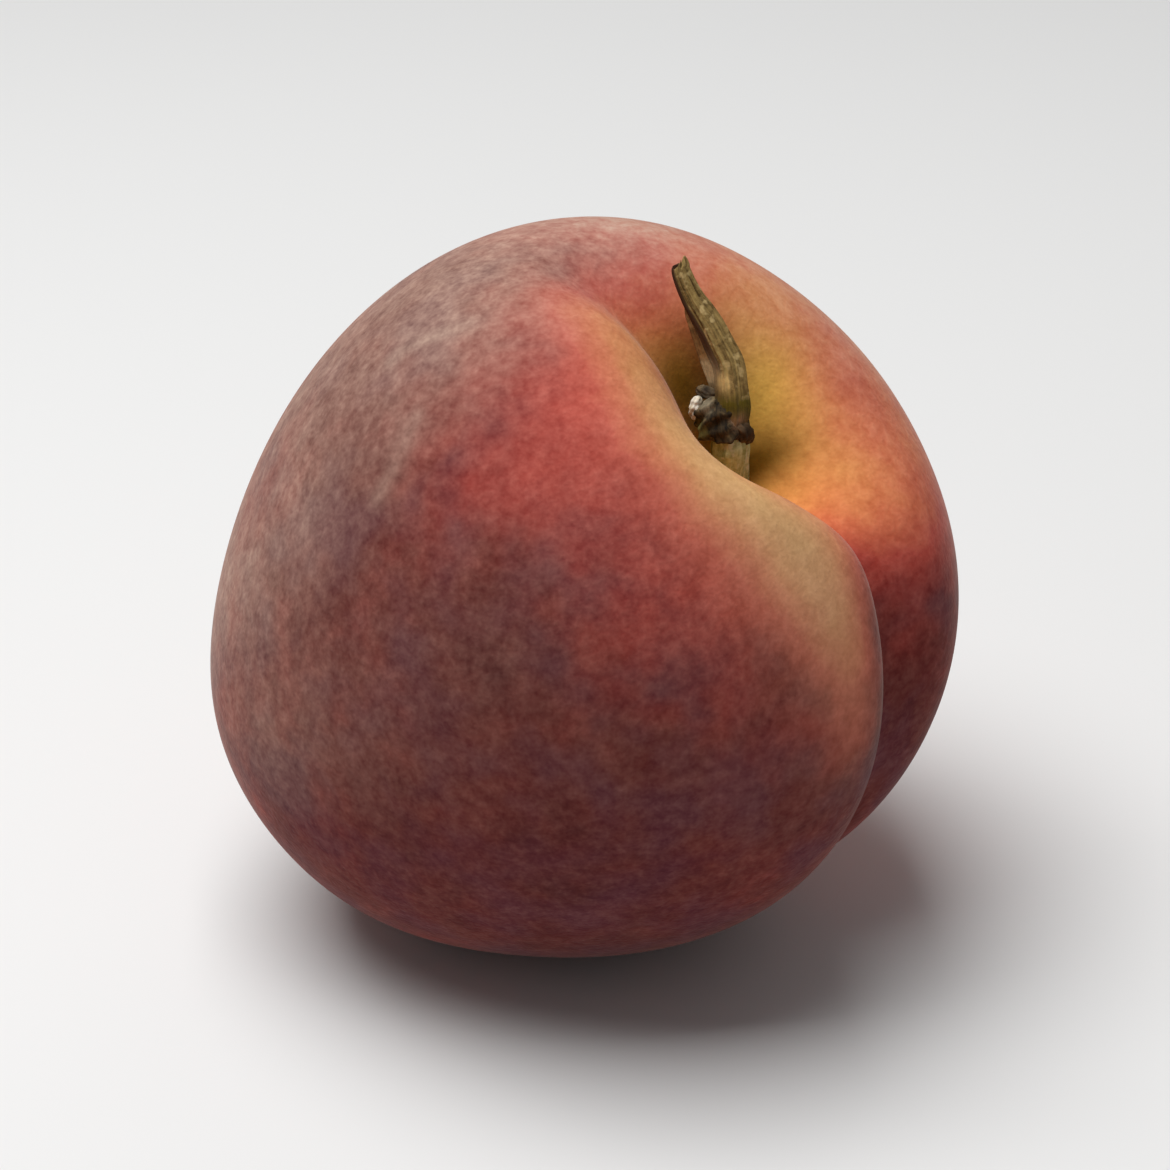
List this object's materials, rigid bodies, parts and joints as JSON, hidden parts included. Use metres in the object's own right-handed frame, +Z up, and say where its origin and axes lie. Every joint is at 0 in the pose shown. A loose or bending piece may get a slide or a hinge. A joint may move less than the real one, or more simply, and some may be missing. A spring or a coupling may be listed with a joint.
{
  "type": "peach",
  "caption": "Ripe peach lying on its side: plump body with a long suture groove, a deep hollow round the stem, and a torn strip of twig still on its short stem.",
  "frame": {"origin": "centre of the small flat spot that the fruit lies on", "axes": "+Z up from the surface; +X to the right and +Y to the back of the fruit, with its stem hollow up towards +X and -Y and its suture running down on the +X side"},
  "size_m": [0.0715, 0.0715, 0.07],
  "materials": {
    "fruit": "velvety skin, deep red blush over golden yellow, with a pale bloom of down",
    "stem": "dry olive-brown bark with ridges along it and a dark torn scar"
  },
  "bodies": {
    "root": {"fruit": "fruit", "stem": "stem"}
  },
  "joints": []
}
